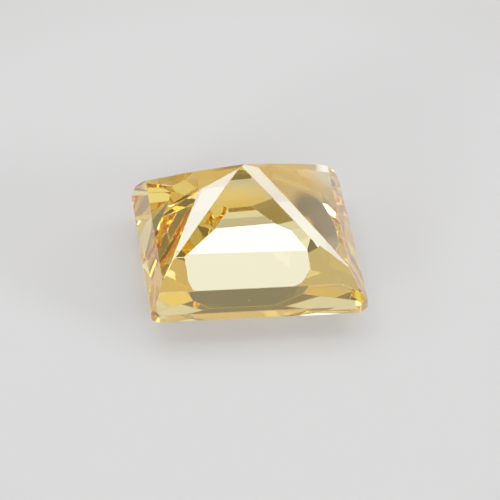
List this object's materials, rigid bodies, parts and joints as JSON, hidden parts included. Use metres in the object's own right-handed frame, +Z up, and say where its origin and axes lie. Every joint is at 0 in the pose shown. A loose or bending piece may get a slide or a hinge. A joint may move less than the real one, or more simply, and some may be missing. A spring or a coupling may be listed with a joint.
{
  "type": "faceted yellow sapphire",
  "caption": "Square-cut golden-yellow sapphire with clipped corners, lying on its table with its culet up.",
  "frame": {"origin": "middle of the table, the flat face that the stone lies on", "axes": "+Z up through the culet; +Y towards the back side of the stone; +X towards its right side"},
  "size_m": [0.005, 0.0048, 0.0032],
  "materials": {
    "crystal": "polished, clear"
  },
  "bodies": {
    "root": {"sapphire": "crystal"}
  },
  "joints": []
}
